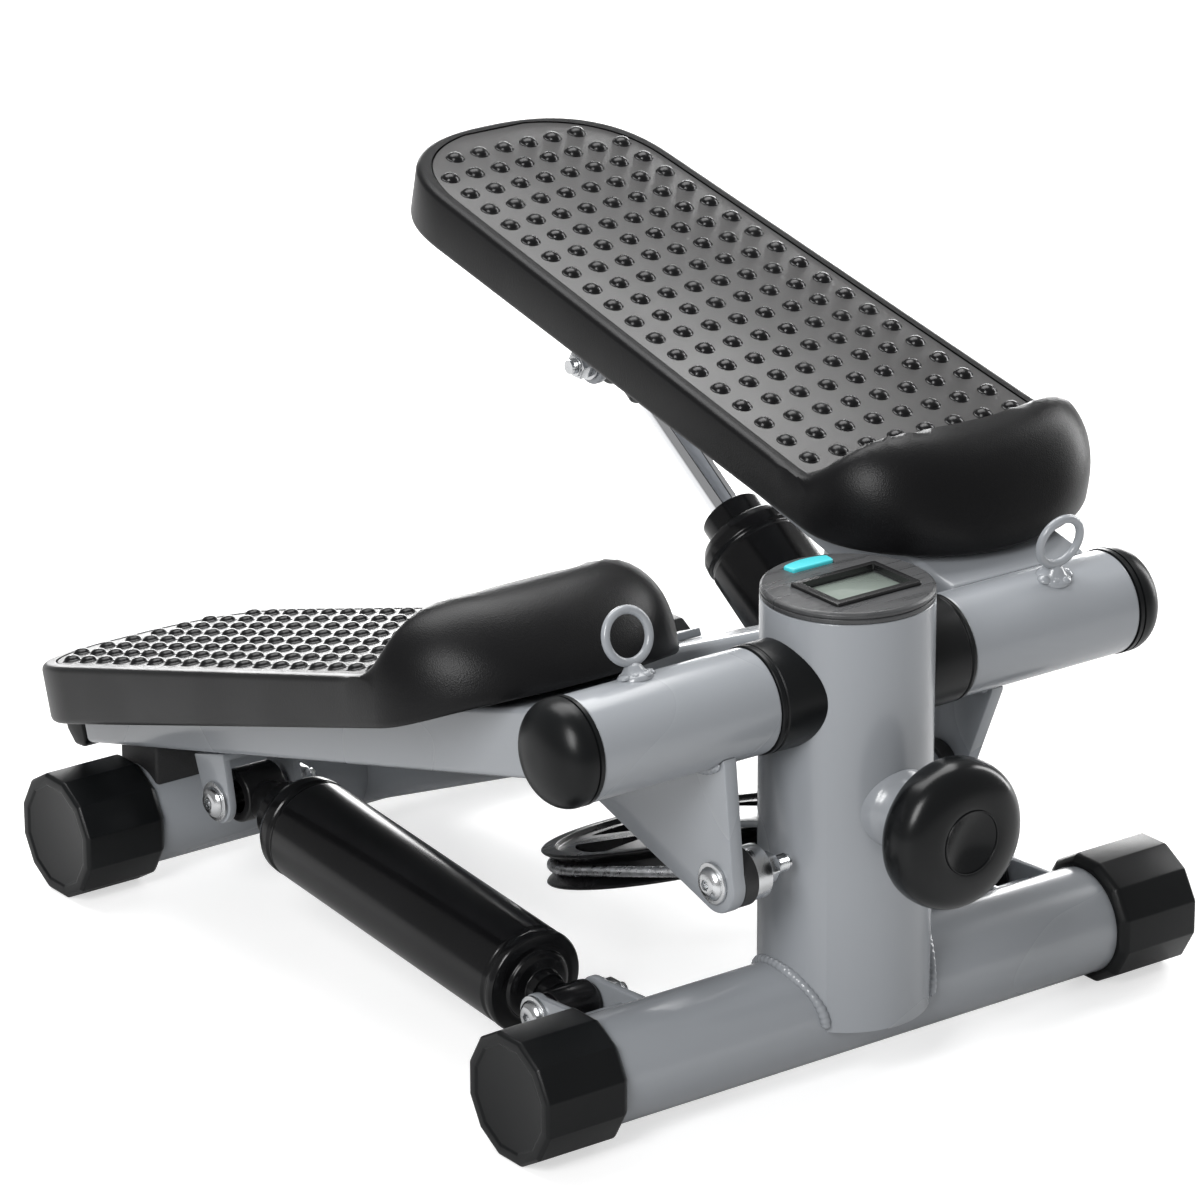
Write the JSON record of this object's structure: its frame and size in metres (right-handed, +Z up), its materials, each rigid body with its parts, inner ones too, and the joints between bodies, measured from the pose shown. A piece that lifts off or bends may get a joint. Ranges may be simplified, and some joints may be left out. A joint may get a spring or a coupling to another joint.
{
  "type": "stepper",
  "caption": "Mini stepper: studded pedals on oil dampers, linked by a cable and pulley, on a tube base with an adjusting knob and a round step display.",
  "frame": {"origin": "floor under the centre of the post, which stands on the front tube", "axes": "+X to the machine's right pedal, +Y from the post towards the heels, +Z up; metres"},
  "size_m": [0.382, 0.5197, 0.3205],
  "materials": {
    "grey_paint": "satin silver-grey powder coat",
    "black_cap": "satin moulded black plastic",
    "damper_black": "gloss black paint on steel tube",
    "knob_black": "polished black moulding",
    "pedal_black": "fine-grained black moulding, satin",
    "tread_grey": "fine-textured dark grey mat with black domed studs",
    "chrome": "polished chrome plate",
    "zinc": "bright zinc plate, lightly brushed",
    "rubber_stop": "matt black rubber",
    "wire_rope": "twisted steel wire rope",
    "display_body": "satin black and grey moulding",
    "display_lens": "clear window over a grey-green screen",
    "button_cyan": "soft cyan moulding",
    "dark_nylon": "satin black nylon"
  },
  "bodies": {
    "base": {"front_cross_tube": "grey_paint", "rear_cross_tube": "grey_paint", "post": "grey_paint", "main_beam": "grey_paint", "beam_plate": "grey_paint", "lower_clevis_L": "grey_paint", "lower_clevis_R": "grey_paint", "knob_boss": "grey_paint", "pulley_carrier": "grey_paint", "front_foot_cap_L": "black_cap", "front_foot_cap_R": "black_cap", "rear_foot_cap_L": "black_cap", "rear_foot_cap_R": "black_cap", "post_collar_L": "black_cap", "post_collar_R": "black_cap", "pivot_axle": "zinc", "lower_bolt_L": "zinc", "lower_bolt_R": "zinc", "pulley_pin": "zinc", "stop_pad_L": "rubber_stop", "stop_pad_R": "rubber_stop", "cable": "wire_rope", "display_bezel": "display_body", "lcd_screen": "display_lens"},
    "pedal_L": {"pivot_tube_L": "grey_paint", "pivot_bush_L": "dark_nylon", "end_dome_L": "black_cap", "eye_ring_L": "grey_paint", "lever_L": "grey_paint", "lever_bolt_L": "zinc", "cable_terminal_L": "zinc", "pedal_arm_L": "grey_paint", "arm_plug_L": "black_cap", "footplate_L": "pedal_black", "tread_mat_L": "tread_grey", "upper_bracket_L": "grey_paint", "upper_bolt_L": "zinc"},
    "pedal_R": {"pivot_tube_R": "grey_paint", "pivot_bush_R": "dark_nylon", "end_dome_R": "black_cap", "eye_ring_R": "grey_paint", "lever_R": "grey_paint", "lever_bolt_R": "zinc", "cable_terminal_R": "zinc", "pedal_arm_R": "grey_paint", "arm_plug_R": "black_cap", "footplate_R": "pedal_black", "tread_mat_R": "tread_grey", "upper_bracket_R": "grey_paint", "upper_bolt_R": "zinc"},
    "damper_L": {"damper_body_L": "damper_black"},
    "damper_R": {"damper_body_R": "damper_black"},
    "rod_L": {"damper_rod_L": "chrome", "rod_eye_L": "dark_nylon"},
    "rod_R": {"damper_rod_R": "chrome", "rod_eye_R": "dark_nylon"},
    "pulley_wheel": {"pulley": "dark_nylon"},
    "knob_turn": {"knob": "knob_black", "knob_spindle": "zinc"},
    "button": {"mode_button": "button_cyan"}
  },
  "joints": [
    {"name": "pedal_L_hinge", "type": "hinge", "parent": "base", "child": "pedal_L", "pos_m": [-0.113, 0, 0.1845], "axis": [1, 0, 0], "range_deg": [0, 29.7], "deforming": ["cable"]},
    {"name": "pedal_R_hinge", "type": "hinge", "parent": "base", "child": "pedal_R", "pos_m": [0.113, 0, 0.1845], "axis": [1, 0, 0], "range_deg": [-29.7, 0]},
    {"name": "damper_L_swing", "type": "hinge", "parent": "base", "child": "damper_L", "pos_m": [-0.118, 0.048, 0.0386], "axis": [1, 0, 0], "range_deg": [0, 30.2]},
    {"name": "damper_R_swing", "type": "hinge", "parent": "base", "child": "damper_R", "pos_m": [0.118, 0.048, 0.0386], "axis": [1, 0, 0], "range_deg": [-29.2, 0]},
    {"name": "rod_L_slide", "type": "slide", "parent": "damper_L", "child": "rod_L", "axis": [0, 0.9966, 0.0827], "range_m": [0, 0.0795]},
    {"name": "rod_R_slide", "type": "slide", "parent": "damper_R", "child": "rod_R", "axis": [0, 0.8279, 0.5608], "range_m": [-0.0792, 0]},
    {"name": "pulley_turn", "type": "hinge", "parent": "base", "child": "pulley_wheel", "pos_m": [0, 0.115, 0.067], "axis": [0, 0.309, 0.9511], "range_deg": [-35.5, 0]},
    {"name": "knob_turn_hinge", "type": "hinge", "parent": "base", "child": "knob_turn", "pos_m": [0, 0, 0.133], "axis": [0, 1, 0], "continuous": true},
    {"name": "button_press", "type": "slide", "parent": "base", "child": "button", "axis": [0, 0, -1], "range_m": [0, 0.0012], "stiffness_N_per_m": 400, "springref_m": -0.0002}
  ],
  "couplings": [
    {"joint": "pedal_R_hinge", "follows": "pedal_L_hinge", "ratio": -1},
    {"joint": "damper_L_swing", "follows": "pedal_L_hinge", "ratio": 1.0087},
    {"joint": "damper_R_swing", "follows": "pedal_L_hinge", "ratio": -0.96917},
    {"joint": "rod_L_slide", "follows": "pedal_L_hinge", "m_per_rad": 0.15185},
    {"joint": "rod_R_slide", "follows": "pedal_L_hinge", "m_per_rad": -0.15109},
    {"joint": "pulley_turn", "follows": "pedal_L_hinge", "ratio": -1.18}
  ]
}
